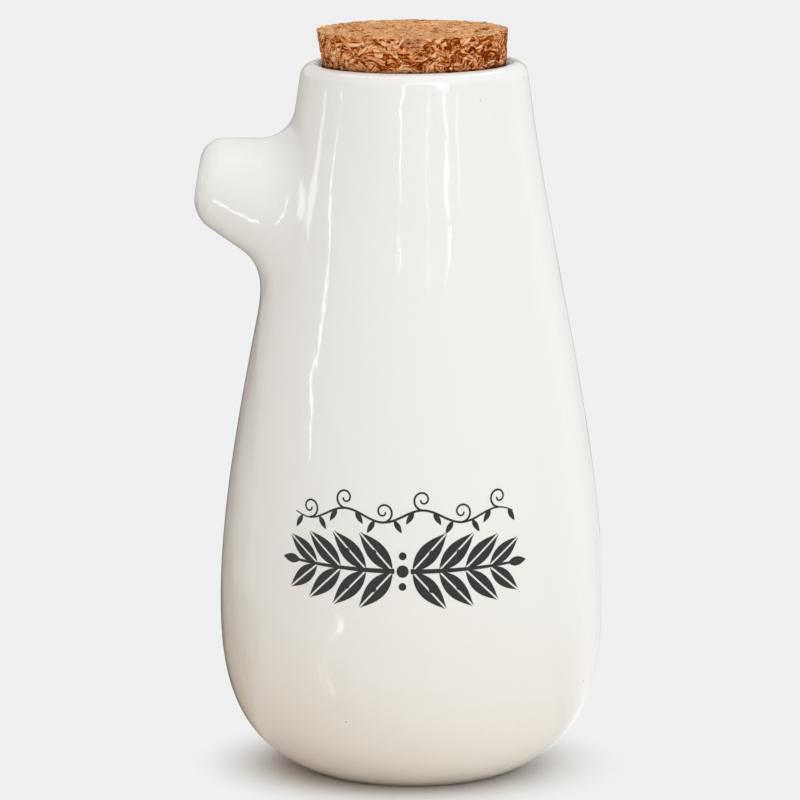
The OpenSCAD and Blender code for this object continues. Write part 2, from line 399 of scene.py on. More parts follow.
def glazedStoneware():
    # White-glazed earthenware, slip-cast and dipped. The eye sees a glassy, slightly wavy coat
    # with long wobbling reflections and a few pinholes; a painted warm reflection near the foot and
    # painted shade in the mouth.
    material, add = newMaterial("glazedStoneware")
    place = add("TexCoord").outputs["Object"]
    xyz = add("SeparateXYZ", links={0: place})
    # long waves, drawn out down the pot, and a finer ripple
    stretched = add("Mapping", {"Scale": (1.0, 1.0, 0.5)}, {"Vector": place})
    waves = add("TexNoise", {"Scale": perMetre(b["waves"]), "Detail": 1.5, "Roughness": 0.45},
                {"Vector": stretched})
    ripple = add("TexNoise", {"Scale": perMetre(b["ripple"])}, {"Vector": stretched})
    # pinholes: a speck in the middle of a few cells
    cells = add("TexVoronoi", {"Scale": perMetre(b["speckCell"])}, {"Vector": place})
    chosen = add("SeparateColor", links={0: cells.outputs["Color"]})
    rare = add("Math", {"operation": "LESS_THAN", 1: b["speckShare"]}, {0: chosen})
    near = add("Math", {"operation": "LESS_THAN", 1: b["speck"] / b["speckCell"]},
               {0: cells.outputs["Distance"]})
    speck = add("Math", {"operation": "MULTIPLY"}, {0: rare, 1: near})
    # colour: a cool white above; towards the foot, cream in cloudy patches, a painted warm
    # reflection
    height = add("MapRange", {"From Min": 0.07, "From Max": 0.0}, {"Value": xyz.outputs[2]})
    cloud = add("TexNoise", {"Scale": perMetre(b["cloud"]), "Detail": 3.0, "Roughness": 0.55},
                {"Vector": place})
    warm = add("Math", {"operation": "MULTIPLY"}, {0: height, 1: cloud})
    white = add("Mix", {"data_type": "RGBA", 6: b["white"], 7: b["warmReflectionColour"]}, {0: warm})
    spotted = add("Mix", {"data_type": "RGBA", 7: b["speckColour"]}, {0: speck, 6: white})
    # painted shade: the glaze inside the mouth, round the plug, is darkened where the gap lies in
    # shadow
    level = add("CombineXYZ", links={0: xyz.outputs[0], 1: xyz.outputs[1]})
    around = add("VectorMath", {"operation": "LENGTH"}, {0: level})
    outside, inside = (r * mm for r in b["mouthShadeRadius"])
    inMouth = add("MapRange", {"From Min": outside, "From Max": inside, "To Max": b["mouthShadeShare"]},
                  {"Value": around})
    low, high = (z * mm for z in b["mouthShadeHeight"])
    above = add("MapRange", {"From Min": low, "From Max": high}, {"Value": xyz.outputs[2]})
    mouthShade = add("Math", {"operation": "MULTIPLY"}, {0: inMouth, 1: above})
    seatShaded = add("Mix", {"data_type": "RGBA", 7: b["seatShadeColour"]}, {0: mouthShade, 6: spotted})
    # the foot ring is wiped clean of glaze, so its bare biscuit shows
    low, high = (z * mm for z in b["bareHeight"])
    bare = add("MapRange", {"From Min": high, "From Max": low}, {"Value": xyz.outputs[2]})
    grit = add("TexNoise", {"Scale": perMetre(b["grit"])}, {"Vector": place})
    colour = add("Mix", {"data_type": "RGBA", 7: b["biscuit"]}, {0: bare, 6: seatShaded})
    rough = add("Mix", {"data_type": "FLOAT", 2: 0.085, 3: 0.75}, {0: bare})
    waveSum = add("Math", {"operation": "MULTIPLY_ADD", 1: 0.16}, {0: ripple, 2: waves})
    bump = add("Bump", {"Distance": b["waveHeight"] * mm}, {"Height": waveSum})
    gritBump = add("Math", {"operation": "MULTIPLY"}, {0: grit, 1: bare})
    surface = add("Bump", {"Strength": 0.5, "Distance": b["gritHeight"] * mm},
                  {"Height": gritBump, "Normal": bump})
    shader = add("BsdfPrincipled", {"IOR": 1.52},
                 {"Base Color": colour, "Roughness": rough, "Normal": surface})
    add("OutputMaterial", links={0: shader})
    return material


def makeBottle():
    glaze = glazedStoneware()
    points, faces = outerShell()
    piece = meshPiece("glazedBottle", [p * mm for p in tiltRim(points)], faces, glaze, None)
    hollow, hollowFaces = turnedSolid(cavityLine(), b["hollowColumns"])
    cutters = []
    for name, (points, faces) in (("hollow", (tiltRim(hollow), hollowFaces)),
                                  ("passage", passageSolid()), ("hole", holeSolid())):
        cutters.append(meshPiece(name, [p * mm for p in points], faces, glaze, None))
        cut = piece.modifiers.new("cut", "BOOLEAN")
        cut.operation = "DIFFERENCE"
        cut.solver = "EXACT"
        cut.object = cutters[-1]
    evaluated = piece.evaluated_get(bpy.context.evaluated_depsgraph_get())
    mesh = bpy.data.meshes.new_from_object(evaluated)
    piece.modifiers.clear()
    piece.data = mesh
    for cutter in cutters:
        bpy.data.objects.remove(cutter)
    mesh.polygons.foreach_set("use_smooth", [True] * len(mesh.polygons))
    mesh.set_sharp_from_angle(angle=math.radians(50))
    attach(piece, "bottle")
    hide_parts("bottle")
    print("bottle:", len(mesh.polygons), "faces")


# The stopper, in millimetres
stopperForm = {
    "topRadius": 23.6, "bottomRadius": 20.8, "length": 24.0, "proud": 8.6, "edgeWear": 0.15,
    "columns": 560, "sideRows": 44, "seatRows": 12, "topRings": 74, "footRings": 6,
    # flakes: their size, how they are drawn out, pressed flat and bent, and the gaps between them
    "seed": 11, "flake": 3.3, "long": 2.6, "thick": 0.5, "bend": 1.2, "flakeSizes": (0.75, 1.35),
    "gapWidth": 0.12, "gapDepth": 0.07, "tiltDepth": 0.3, "pitShare": 0.04, "pitDepth": 0.5,
    # torn layers: their stretch along the flake, their bow, how level they lie and their width
    "stretch": 6.0, "layerBow": 0.1, "levelWay": 0.55, "layer": 0.74074,
    # out of true, and one flake that stands up at the back edge: x, y, width, rise
    "slantSide": 0.45, "slantBack": 0.45, "leanSide": 0.5, "chip": (17.8, 13.2, 0.9, 0.5),
    # grains in mm: sway of the bark's edge, dust, gaps, rows of pores and pores
    "sway": 3.8462, "swayReach": 1.6, "dust": 0.33333, "gapPatch": 4.7619, "poreRows": 1.122,
    "pores": 0.76923, "relief": 0.6, "barkPatch": (-0.4, 182.9, 2.5, 1.6),
    # colours: the flakes from dark to light, bark, the gaps' painted shade, top, and the seat's oil
    # stain with painted shade
    "tones": [(0.3, "742600"), (0.39, "A44C14"), (0.46, "CE7A3C"), (0.53, "EC9E62"),
              (0.61, "FFBC88"), (0.74, "FFD8B0")],
    "barkColour": "D89068", "poreColour": "6A2008", "gapShadeColour": "5C1E02", "topColour": "EEBC86",
    "seatShadeColour": "2E1204",
}
s = stopperForm
stopperFoot = b["bodyHeight"] + s["proud"] - s["length"]
stopperTop = b["bodyHeight"] + s["proud"]


def stopperRadius(height):
    share = (height - stopperFoot) / s["length"]
    return s["bottomRadius"] + (s["topRadius"] - s["bottomRadius"]) * share


def corkSurface():
    # points of a tapered plug, closed, finest where it stands proud of the rim
    columns, wear = s["columns"], s["edgeWear"]
    turns = np.linspace(0, 2 * math.pi, columns, endpoint=False)
    seam = s["length"] - s["proud"] - 0.8
    rise = np.concatenate([np.linspace(wear, seam, s["seatRows"])[:-1],
                           np.linspace(seam, s["length"] - wear, s["sideRows"])])
    line = [(k * (s["bottomRadius"] - wear), stopperFoot)
            for k in np.linspace(0.05, 1, s["footRings"])]
    line += [(stopperRadius(stopperFoot + h), stopperFoot + h) for h in rise]
    line += [(k * (s["topRadius"] - wear), stopperTop) for k in np.linspace(1, 0.02, s["topRings"])]
    points = [[r * cos(a), r * sin(a), z] for r, z in line for a in turns]
    points += [[0, 0, stopperFoot], [0, 0, stopperTop]]
    faces = ringFaces(len(line), columns) + fanFaces(len(points) - 2, 0, columns, flip=True)
    faces += fanFaces(len(points) - 1, (len(line) - 1) * columns, columns)
    return np.array(points), faces


def ofLengthOne(rows):
    return rows / np.linalg.norm(rows, axis=1)[:, None]


def corkFlakes(points):
    # Each point belongs to the flake whose own stretched ball reaches it first. Returned are each
    # point's flake, the gap to the next one and its lift, and each flake's own values.
    dice = np.random.default_rng(s["seed"])
    low, high = points.min(0) - 4, points.max(0) + 4
    count = int(np.prod(high - low) / s["flake"] ** 3)
    seeds = dice.uniform(low, high, (count, 3))
    tree = KDTree(count)
    for i, p in enumerate(seeds):
        tree.insert(p, i)
    tree.balance()
    # flakes are bent, so the points are moved by a smooth swirl before they are sorted
    x, y, z = points.T
    moved = points + s["bend"] * np.stack([np.sin(y * 1.1 + 1.7 * np.sin(z * 0.9)),
                                           np.sin(z * 1.4 + 1.3 * np.sin(x * 0.8)),
                                           np.sin(x * 1.2 + 1.5 * np.sin(y * 0.7))], 1)
    # pressing lays them flat, so the thin way of each one is mostly up
    thin = ofLengthOne(dice.normal(0, 1, (count, 3)) * [1.0, 1.0, 1.6])
    longWay = ofLengthOne(np.cross(thin, dice.normal(0, 1, (count, 3))))
    size = dice.uniform(*s["flakeSizes"], count)
    near = np.array([[k for _, k, _ in tree.find_n(p, 14)] for p in moved])
    away = moved[:, None, :] - seeds[near]
    alongLong = (away * longWay[near]).sum(2)
    alongThin = (away * thin[near]).sum(2)
    reach = (away ** 2).sum(2) + (1 / s["long"] ** 2 - 1) * alongLong ** 2 \
        + (1 / s["thick"] ** 2 - 1) * alongThin ** 2
    reach = np.sqrt(reach) / size[near]
    order = np.argsort(reach, axis=1)[:, :2]
    row = np.arange(len(points))
    owner = near[row, order[:, 0]]
    edge = (reach[row, order[:, 1]] - reach[row, order[:, 0]]) * 0.6
    tone = dice.uniform(0, 1, count)
    kind = dice.uniform(0, 1, count)
    tilt = dice.normal(0, 0.5, (count, 3))[owner]
    lift = (away[row, order[:, 0]] * tilt).sum(1)
    return owner, edge, lift, {"seed": seeds, "tone": tone, "kind": kind, "way": longWay}


def flakeCoordinates(points, faces, owner, onEnds, flakes):
    # Per face corner: the place within the face's own flake, in mm, shrunk along the flake's torn
    # layers, so that the layers run through a flake and end at its border
    sides = [len(f) for f in faces]
    corners = np.array([k for f in faces for k in f])
    home = np.repeat([owner[f[0]] for f in faces], sides)
    flat = np.repeat([bool(onEnds[f[0]] and onEnds[f[-1]]) for f in faces], sides)
    out = ofLengthOne(flakes["seed"][home] * [1, 1, 0])
    out = np.where(flat[:, None], [0, 0, 1.0], out)
    # the layers lie within the surface, and mostly round the plug
    way = flakes["way"][home] * [1, 1, s["levelWay"]]
    way = ofLengthOne(way - (way * out).sum(1)[:, None] * out)
    away = points[corners] - flakes["seed"][home]
    along = (away * way).sum(1)[:, None]
    bowed = s["layerBow"] * along ** 2 * np.cross(out, way)
    away = away - (1 - 1 / s["stretch"]) * along * way + bowed
    # far steps between flakes, so that no two share their layers
    return away + flakes["kind"][home][:, None] * [97, 53, 71], corners, home


def pressedCork():
    # Agglomerated cork: ground flakes glued and pressed into a block, then ground to a taper.
    # The eye sees matt tan to rust flakes, curled and a few millimetres long, with dark gaps.
    material, add = newMaterial("pressedCork")
    marks = add("Attribute", {"attribute_name": "flakes"})
    parts = add("SeparateColor", links={0: marks.outputs["Color"]})
    inFlake = add("Attribute", {"attribute_name": "inFlake"})
    place = add("TexCoord").outputs["Object"]
    xyz = add("SeparateXYZ", links={0: place})
    # torn layers inside a flake, whose places are in mm, and dust on them
    layers = add("TexNoise", {"Scale": 1 / s["layer"], "Roughness": 0.65, "Distortion": 0.7},
                 {"Vector": inFlake.outputs["Vector"]})
    dust = add("TexNoise", {"Scale": perMetre(s["dust"]), "Roughness": 0.6}, {"Vector": place})
    tone = add("Math", {"operation": "MULTIPLY_ADD", 1: 0.16, 2: -0.31}, {0: parts.outputs[0]})
    level = add("Math", {"operation": "MULTIPLY_ADD", 1: 1.4}, {0: layers, 2: tone})
    colour = add("ValToRGB", links={0: level}, stops=s["tones"])
    grained = add("Mix", {"data_type": "RGBA", "blend_type": "OVERLAY", 0: 0.15},
                  {6: colour, 7: dust})
    # a scrap of bark in the side: salmon, with rows of dark pores and a ragged edge
    bent = add("TexNoise", {"Scale": perMetre(s["sway"]), "Detail": 1.0}, {"Vector": place})
    reach = s["swayReach"] * mm
    sway = add("VectorMath", {"operation": "MULTIPLY_ADD", 1: (reach, reach, reach)},
               {0: bent.outputs["Color"], 2: place})
    swayed = add("SeparateXYZ", links={0: sway})
    x, z, halfWide, halfTall = s["barkPatch"]
    squares = []
    for k, middle, half in ((0, x, halfWide), (2, z, halfTall)):
        middle += s["swayReach"] / 2
        off = add("Math", {"operation": "MULTIPLY_ADD", 1: 1 / (half * mm), 2: -middle / half},
                  {0: swayed.outputs[k]})
        squares.append(add("Math", {"operation": "POWER", 1: 2.0}, {0: off}))
    away = add("Math", {"operation": "ADD"}, {0: squares[0], 1: squares[1]})
    front = add("Math", {"operation": "LESS_THAN", 1: 0.0}, {0: swayed.outputs[1]})
    bark = add("MapRange", {"From Min": 1.25, "From Max": 0.6, "To Max": 0.65}, {"Value": away})
    onBark = add("Math", {"operation": "MULTIPLY"}, {0: bark, 1: front})
    rows = add("TexWave", {"bands_direction": "Z", "Distortion": 1.5, "Detail": 1.0,
                           "Detail Scale": 2.0, "Scale": math.pi / 10 * perMetre(s["poreRows"])},
               {"Vector": place})
    broken = add("TexNoise", {"Scale": perMetre(s["pores"]), "Detail": 1.0}, {"Vector": place})
    pores = add("Math", {"operation": "MULTIPLY"}, {0: rows.outputs["Fac"], 1: broken})
    pored = add("MapRange", {"From Min": 0.36, "From Max": 0.44}, {"Value": pores})
    barkTone = add("Mix", {"data_type": "RGBA", 6: s["barkColour"], 7: s["poreColour"]}, {0: pored})
    patched = add("Mix", {"data_type": "RGBA"}, {0: onBark, 6: grained, 7: barkTone})
    # dark gaps between some of the flakes: their dark colour is painted shade in the crevices
    gap = add("MapRange", {"From Min": 0.13, "From Max": 0.02}, {"Value": parts.outputs[1]})
    broad = add("TexNoise", {"Scale": perMetre(s["gapPatch"])}, {"Vector": place})
    openGap = add("MapRange", {"From Min": 0.50, "From Max": 0.62}, {"Value": broad})
    gapShadeShare = add("Math", {"operation": "MULTIPLY"}, {0: gap, 1: openGap})
    dark = add("Mix", {"data_type": "RGBA", 7: s["gapShadeColour"]}, {0: gapShadeShare, 6: patched})
    # ground end grain on top is paler and drier than the side
    normal = add("SeparateXYZ", links={0: add("NewGeometry").outputs["True Normal"]})
    facing = add("MapRange", {"From Min": 0.6, "From Max": 0.95, "To Max": 0.6},
                 {"Value": normal.outputs[2]})
    topFace = stopperTop * mm
    high = add("MapRange", {"From Min": topFace - 0.0016, "From Max": topFace - 0.0012},
               {"Value": xyz.outputs[2]})
    flatTop = add("Math", {"operation": "MULTIPLY"}, {0: facing, 1: high})
    dusty = add("Mix", {"data_type": "RGBA", 7: s["topColour"]}, {0: flatTop, 6: dark})
    # the part that sits in the bottle is darker: oil stain down in the seat, and painted shade in a
    # band along the rim, where the gap shadows the cork
    overRim = add("Math", {"operation": "MULTIPLY_ADD", 1: -b["rimTilt"]},
                  {0: xyz.outputs[0], 2: xyz.outputs[2]})
    rim = b["bodyHeight"] * mm
    below = add("MapRange", {"From Min": rim + 0.0004, "From Max": rim - 0.0002, "To Max": 0.85},
                {"Value": overRim})
    deeper = add("MapRange", {"From Min": rim - 0.002, "From Max": rim - 0.0006, "To Min": 0.5},
                 {"Value": overRim})
    oilAndShade = add("Math", {"operation": "MULTIPLY"}, {0: below, 1: deeper})
    seatShaded = add("Mix", {"data_type": "RGBA", 7: s["seatShadeColour"]}, {0: oilAndShade, 6: dusty})
    height = add("Math", {"operation": "MULTIPLY_ADD", 1: 0.3}, {0: dust, 2: level})
    bump = add("Bump", {"Distance": s["relief"] * mm}, {"Height": height})
    shader = add("BsdfPrincipled", {"Roughness": 0.85, "IOR": 1.4, "Specular IOR Level": 0.04},
                 {"Base Color": seatShaded, "Normal": bump})
    add("OutputMaterial", links={0: shader})
    return material


def makeStopper():
    points, faces = corkSurface()
    out = points * [1, 1, 0]
    out = out / np.maximum(np.linalg.norm(out, axis=1)[:, None], 1e-6)
    onTop = points[:, 2] > stopperTop - 0.01
    onFoot = points[:, 2] < stopperFoot + 0.01
    out = np.where(onTop[:, None], [0, 0, 1.0], np.where(onFoot[:, None], [0, 0, -1.0], out))
    owner, edge, lift, flakes = corkFlakes(points)
    inFlake, corners, home = flakeCoordinates(points, faces, owner, onTop | onFoot, flakes)
    # every flake sits at its own slant, so its edges stand over the next one; some fell out
    sunk = np.clip(0.5 - lift * 0.4, 0, 1) * s["tiltDepth"]
    sunk += np.clip(1 - edge / s["gapWidth"], 0, 1) * s["gapDepth"]
    sunk += (flakes["kind"][owner] < s["pitShare"]) * np.clip(edge / 0.4, 0, 1) * s["pitDepth"]
    # the part in the seat is pressed smooth
    proud = np.clip((points[:, 2] - b["bodyHeight"] + 0.6) / 0.8, 0.1, 1)
    points = points - out * (sunk * proud)[:, None]
    # ground a little out of square: lower at the back and the spout side, and off to one side
    share = np.clip((points[:, 2] - b["bodyHeight"]) / s["proud"], 0, 1)
    slant = s["slantSide"] * (1 - points[:, 0] / s["topRadius"]) / 2 \
        + s["slantBack"] * (1 + points[:, 1] / s["topRadius"]) / 2
    points[:, 2] -= share * slant
    x, y, width, rise = s["chip"]
    away = np.hypot(points[:, 0] - x, points[:, 1] - y)
    points[:, 2] += onTop * rise * np.clip(1 - away / width, 0, 1)
    points[:, 0] -= share * s["leanSide"]
    piece = meshPiece("corkPlug", points * mm, faces, pressedCork(), None)
    # for the finish: each corner's tone and its gap to the next flake, and its place in its own
    marks = np.zeros((len(corners), 4))
    marks[:, 0], marks[:, 1], marks[:, 3] = flakes["tone"][home], np.clip(edge[corners], 0, 1), 1
    for name, kind, key, values in (("flakes", "FLOAT_COLOR", "color", marks),
                                    ("inFlake", "FLOAT_VECTOR", "vector", inFlake)):
        attribute = piece.data.attributes.new(name, kind, "CORNER")
        attribute.data.foreach_set(key, values.ravel())
    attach(piece, "stopper")
    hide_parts("stopper")
    print("stopper:", len(faces), "faces")


# The print, in millimetres; its parts are drawn from its own middle
sprigPrint = {
    "centreX": -2.2, "centreZ": 63.9, "stretch": 0.98, "lift": 0.05, "sink": 0.04, "cell": 1.1,
    # a spray: its stem, pairs of leaves (place, length, width, turn) and berries (x, z, radius)
    "stem": (2.0, 27.5), "stemHeight": -5.6, "vein": 0.22,
    "leaves": ((2.6, 12.0, 4.7, 47), (9.2, 12.0, 4.6, 45), (15.8, 11.4, 4.4, 42),
               (22.2, 9.8, 3.9, 38)),
    "berries": ((7.3, -1.3, 0.8), (7.3, -10.0, 0.8), (14.1, -1.2, 0.75), (14.1, -9.6, 0.75)),
    "beads": ((0, -5.6, 1.5), (0, -1.9, 0.95), (0, -9.3, 0.95)),
    "vineReach": 28.5, "vineHeight": 7.6, "curl": 2.5,
    "wear": 1.1111, "inkTones": [(0.35, "161616"), (0.7, "232221")],
}


def firedInk():
    # Black ceramic transfer fired onto the glaze: dense, slightly less glossy than the glaze
    material, add = newMaterial("firedInk")
    place = add("TexCoord").outputs["Object"]
    worn = add("TexNoise", {"Scale": perMetre(sprigPrint["wear"])}, {"Vector": place})
    tone = add("ValToRGB", links={0: worn}, stops=sprigPrint["inkTones"])
    shader = add("BsdfPrincipled", {"Roughness": 0.22, "IOR": 1.5}, {"Base Color": tone})
    add("OutputMaterial", links={0: shader})
    return material


def placed(loop, x, z, turn):
    a = math.radians(turn)
    return loop @ np.array([[cos(a), sin(a)], [-sin(a), cos(a)]]) + [x, z]


def leafLoop(x, z, length, width, turn, half=0, steps=14):
    # pointed leaf that starts at (x, z) and runs along its turn, in degrees; with half 1 or -1
    # only that side of it, kept clear of the vein
    t = np.linspace(0, 1, steps)
    edge = width / 2 * np.sin(math.pi * t ** 0.85) ** 0.9
    if half:
        vein = sprigPrint["vein"]
        edge = half * np.maximum(edge, vein + 0.02)
        back = np.stack([t * length, np.full(steps, half * vein)], 1)[::-1]
    else:
        back = np.stack([t * length, -edge], 1)[::-1][1:-1]
    return placed(np.vstack([np.stack([t * length, edge], 1), back]), x, z, turn)


def strokeLoop(line, widths):
    line = np.array(line, float)
    ahead = np.gradient(line, axis=0)
    ahead /= np.linalg.norm(ahead, axis=1)[:, None]
    across = np.stack([-ahead[:, 1], ahead[:, 0]], 1) * (np.array(widths) / 2)[:, None]
    return np.vstack([line + across, (line - across)[::-1]])


def sprigShapes():
    # a bold pair of laurel sprays below, a hairline vine with curls above
    look = sprigPrint
    shapes = []

    def addDisc(x, z, radius):
        a = np.linspace(0, 2 * math.pi, 26, endpoint=False)
        shapes.append(np.stack([x + radius * np.cos(a), z + radius * np.sin(a)], 1))

    def addSide(loop, way):
        shapes.append(loop if way > 0 else (loop * [-1, 1])[::-1])

    for way in (1, -1):
        xs = np.linspace(*look["stem"], 40)
        stem = np.stack([way * xs, look["stemHeight"] + 1.3 * (xs / 30) ** 2], 1)
        shapes.append(strokeLoop(stem, np.interp(xs, look["stem"], [1.2, 0.6])))
        for x, length, width, turn in look["leaves"]:
            z = np.interp(x, xs, stem[:, 1])
            for side, half in ((1, 1), (1, -1), (-1, 1), (-1, -1)):
                addSide(leafLoop(x, z + side * 0.3, length, width, side * turn, half), way)
        addSide(leafLoop(27.2, -4.5, 5.2, 2.2, 4), way)  # the leaf at the tip
        for x, z, radius in look["berries"]:
            addDisc(way * x, z, radius)
    for bead in look["beads"]:
        addDisc(*bead)
    reach, curlSize = look["vineReach"], look["curl"]
    xs = np.linspace(-reach, reach, 150)
    vine = np.stack([xs, look["vineHeight"] + 1.5 * np.sin(xs / 3.1)], 1)
    shapes.append(strokeLoop(vine, np.interp(np.abs(xs), [0, 20, reach], [0.55, 0.5, 0.25])))
    for k, x in enumerate(np.arange(-24.3, 25, 9.739)):  # one curl over each hollow of the vine
        z = np.interp(x, xs, vine[:, 1]) + curlSize
        share = np.linspace(0, 1, 40)
        turn = math.pi * (2.5 * share - 0.5)
        radius = curlSize * (1 - 0.82 * share)
        side = -1 if k % 2 else 1
        curl = np.stack([x + side * radius * np.cos(turn), z + radius * np.sin(turn)], 1)
        shapes.append(strokeLoop(curl, np.linspace(0.5, 0.4, 40)))
    for k, x in enumerate(np.arange(-26.5, 28, 4.87)):
        z = np.interp(x, xs, vine[:, 1])
        shapes.append(leafLoop(x, z, 3.6, 1.35, -58 if k % 2 else -122, steps=8))
    return shapes


def makePrint():
    look = sprigPrint
    points, faces = [], []
    for loop in sprigShapes():
        # each shape is a thin slab that follows the side: filled, laid on twice and walled
        loop = loop * [look["stretch"], 1]
        low, high = loop.min(0) + 0.3, loop.max(0)
        flat = [Vector(p) for p in loop]
        flat += [Vector((x, z)) for x in np.arange(low[0], high[0], look["cell"])
                 for z in np.arange(low[1], high[1], look["cell"])]
        filled = delaunay_2d_cdt(flat, ringPairs(len(loop)), [], 1, 1e-5)
        used = sorted({k for f in filled[2] for k in f})
        order = {k: i for i, k in enumerate(used)}
        base, count = len(points), len(used)
        for out in (look["lift"], -look["sink"]):
            for k in used:
                x, z = filled[0][k]
                height = look["centreZ"] + z
                radius = sideRadius(outerSide, height)
                turn = -math.pi / 2 + (look["centreX"] + x) / radius
                points.append(np.array([(radius + out) * cos(turn), (radius + out) * sin(turn),
                                        height]))
        sides = []
        for f in filled[2]:
            ids = [base + order[k] for k in f]
            faces += [ids, [count + i for i in reversed(ids)]]
            sides += zip(ids, ids[1:] + ids[:1])
        known = set(sides)
        faces += [[q, p, count + p, count + q] for p, q in sides if (q, p) not in known]
    piece = meshPiece("sprigMotif", [p * mm for p in points], faces, firedInk(), "bottle")
    piece.data.set_sharp_from_angle(angle=math.radians(40))
    print("print:", len(faces), "faces")


# The room, in metres and degrees
studio = {
    "cameraDistance": 1.5, "cameraHeight": 10.0, "aim": 0.090, "focal": 272.7, "roll": 0.27,
    "shiftX": -0.0156, "shiftY": 0.0104, "backdrop": "EFEFEF", "worldLight": 1.05,
    # the room's light from its dark side, behind on the left, to its bright side
    "brightSide": (0.84, -0.50, 0.20),
    "air": [(0.0, "4A3A2C"), (0.2, "A8998A"), (0.34, "E6E3DE"), (0.5, "F5F5F3"), (1.0, "FFFFFF")],
    # the floor's colour and what it throws up at the bottle, in front and on the left
    "floorColour": "E4E4E3", "floorBounce": "E8E2DA", "floorLeft": "BA9E7E", "floorLift": 0.16,
    # lamps that light everything: place, size, watts
    "bank": ((0.5, -0.6, 1.4), (1.2, 1.2), 2.2), "fill": ((-0.35, -0.5, 0.75), (0.5, 0.5), 0.45),
    # strip lamps that only mirrored rays see: both ends (degrees from the front, distance,
    # height), width and glow
    "strips": [
        ("leftWide", (-95.5, 0.3, 0.159), (-95.5, 0.3, 0.187), 0.034, 2.8),
        ("leftThin", (-66.5, 0.3, 0.101), (-72.5, 0.3, 0.195), 0.0085, 7.0),
        ("leftEdge", (-127, 1.1, 0.15), (-127, 1.1, 0.22), 0.03, 4.0),
        ("frontLeft", (-10.5, 0.3, 0.198), (-10.5, 0.3, 0.30), 0.0055, 9.0),
        ("frontMiddle", (12, 0.3, 0.190), (12, 0.3, 0.30), 0.0038, 6.0),
        ("frontRight", (27.5, 0.3, 0.1888), (27.5, 0.3, 0.30), 0.0065, 9.0),
        ("frontEnd", (39.5, 0.3, 0.1935), (39.5, 0.3, 0.2075), 0.005, 8.0),
        ("frontPane", (24.5, 0.15, 0.1857), (24.5, 0.15, 0.261), 0.033, 3.0),
        ("frontBar", (-10.7, 0.3, 0.392), (31, 0.3, 0.392), 0.06, 3.0)],
    # strips that lie on the floor: both ends (turn, distance), width, glow
    "floorStrips": [("floorThin", (-38, 0.088), (-45.5, 0.16), 0.0005, 10.0),
                    ("floorThinner", (-41.5, 0.095), (-48.5, 0.15), 0.0004, 8.0),
                    ("floorSpout", (-41, 0.22), (-41, 0.30), 0.02, 5.0)],
    # cards that only mirrored rays see: first and last turn, line of (distance, height), how far
    # back their centre lies, glow, and colours from the first turn to the last; the last one
    # hangs over the rim and draws the bright line along its lip
    "cardSteps": 33,
    "cards": [
        ("leftCard", -108, -177, [(0.3, 0.0015), (0.3, 0.088)], 0.0, 1.0,
         [(0.0, "E6E4E0"), (0.18, "A89E92"), (0.38, "54402F")]),
        ("leftUpper", -108, -177, [(0.3, 0.088), (0.3, 0.21)], 0.0, 1.0,
         [(0.0, "E6E4E0"), (0.18, "D2CCC4"), (0.38, "B2A89E")]),
        ("leftFloor", -92, -177, [(0.034, 0.0015), (0.3, 0.0015)], 0.0, 1.0,
         [(0.0, "D0C8BE"), (0.23, "7E6C58"), (0.46, "4E3A28")]),
        ("rightCard", 156, 178, [(0.3, 0.002), (0.3, 0.22)], 0.0, 1.0,
         [(0.0, "DCDAD6"), (0.45, "B4B0AA")]),
        ("rightGlow", 80, 152, [(0.034, 0.002), (0.32, 0.002), (0.32, 0.34)], 0.0, 1.15,
         [(0.0, "CFCFCF"), (0.5, "FFFFFF"), (1.0, "CFCFCF")]),
        ("rimRing", -70, 130, [(0.0305, 0.2), (0.0365, 0.2)], 0.010, 3.0,
         [(0.0, "FFFFFF"), (1.0, "FFFFFF")])],
}


def makeCamera():
    data = bpy.data.cameras.new("camera")
    data.lens = studio["focal"]
    data.sensor_width = 36.0
    data.shift_x, data.shift_y = studio["shiftX"], studio["shiftY"]
    data.clip_start, data.clip_end = 0.05, 20
    camera = bpy.data.objects.new("camera", data)
    bpy.context.scene.collection.objects.link(camera)
    tilt = math.radians(studio["cameraHeight"])
    camera.location = (0, -studio["cameraDistance"] * cos(tilt),
                       studio["aim"] + studio["cameraDistance"] * sin(tilt))
    look = Vector((0, 0, studio["aim"])) - camera.location
    camera.rotation_mode = "QUATERNION"
    roll = Matrix.Rotation(math.radians(studio["roll"]), 4, "Z")
    turn = look.to_track_quat("-Z", "Y").to_matrix().to_4x4() @ roll
    camera.rotation_quaternion = turn.to_quaternion()
    bpy.context.scene.camera = camera


def straightRays(add):
    # 1 for what is seen directly, mirrored or through glass, 0 for scattered light
    rays = add("LightPath")
    mirrored = add("Math", {"operation": "MAXIMUM"},
                   {0: rays.outputs["Is Glossy Ray"], 1: rays.outputs["Is Transmission Ray"]})
    return add("Math", {"operation": "MAXIMUM"}, {0: rays.outputs["Is Camera Ray"], 1: mirrored})


